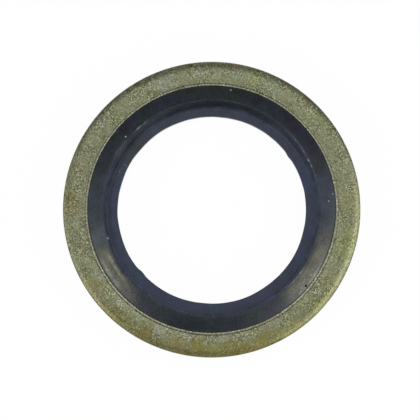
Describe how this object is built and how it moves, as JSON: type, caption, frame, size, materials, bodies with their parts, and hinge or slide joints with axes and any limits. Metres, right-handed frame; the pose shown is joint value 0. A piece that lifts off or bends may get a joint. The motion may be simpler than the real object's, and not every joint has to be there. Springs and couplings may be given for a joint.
{
  "type": "bonded sealing washer",
  "caption": "Flat steel ring with a black rubber seal bonded in its hole: a proud lip on each face, and a thin inner web that centres it on the thread.",
  "frame": {"origin": "centre of the hole, at the mid-plane of the steel ring", "axes": "+Z along the axis of the hole, out of the face whose outer edge is rolled over; X and Y are any two directions across it"},
  "size_m": [0.0238, 0.0238, 0.0028],
  "materials": {
    "zinc_plated_steel": "matt, finely speckled yellow-green passivated zinc over blanked steel sheet",
    "black_rubber": "satin moulded nitrile, with light scuffs along the crest of the lip"
  },
  "bodies": {
    "root": {"steel_ring": "zinc_plated_steel", "rubber_seal": "black_rubber"}
  },
  "joints": []
}
